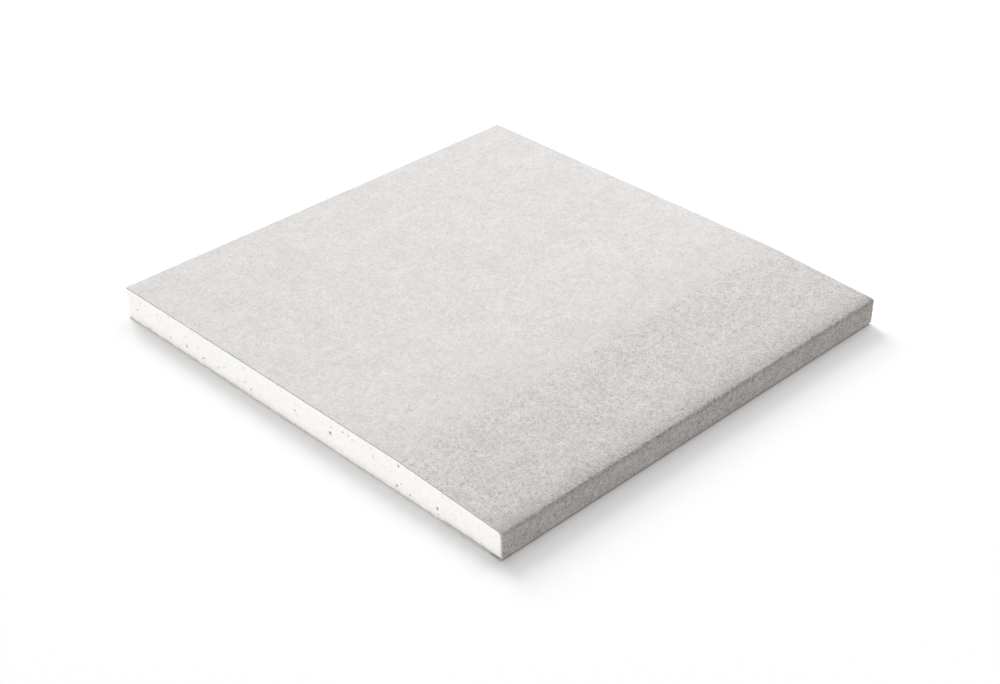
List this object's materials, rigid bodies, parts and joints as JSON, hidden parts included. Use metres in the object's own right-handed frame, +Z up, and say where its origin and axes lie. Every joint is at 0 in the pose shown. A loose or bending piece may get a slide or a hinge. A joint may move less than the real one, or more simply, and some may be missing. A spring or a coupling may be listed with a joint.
{
  "type": "drywall sheet",
  "caption": "Sawn piece of drywall sheet: white gypsum core between paper liners, with a tapered paper-bound edge, for lining walls and ceilings.",
  "frame": {"origin": "centre of the footprint, on the underside of the back paper", "axes": "+X across the board towards the paper-bound tapered edge, +Y along that edge, +Z up out of the face"},
  "size_m": [0.185, 0.181, 0.0125],
  "materials": {
    "gypsum": "matte sawn foamed gypsum with small air pores",
    "face_paper": "matte pale grey fibrous liner paper",
    "back_paper": "matte grey recycled liner paper"
  },
  "bodies": {
    "root": {"gypsum_core": "gypsum", "face_paper": "face_paper", "back_paper": "back_paper"}
  },
  "joints": []
}
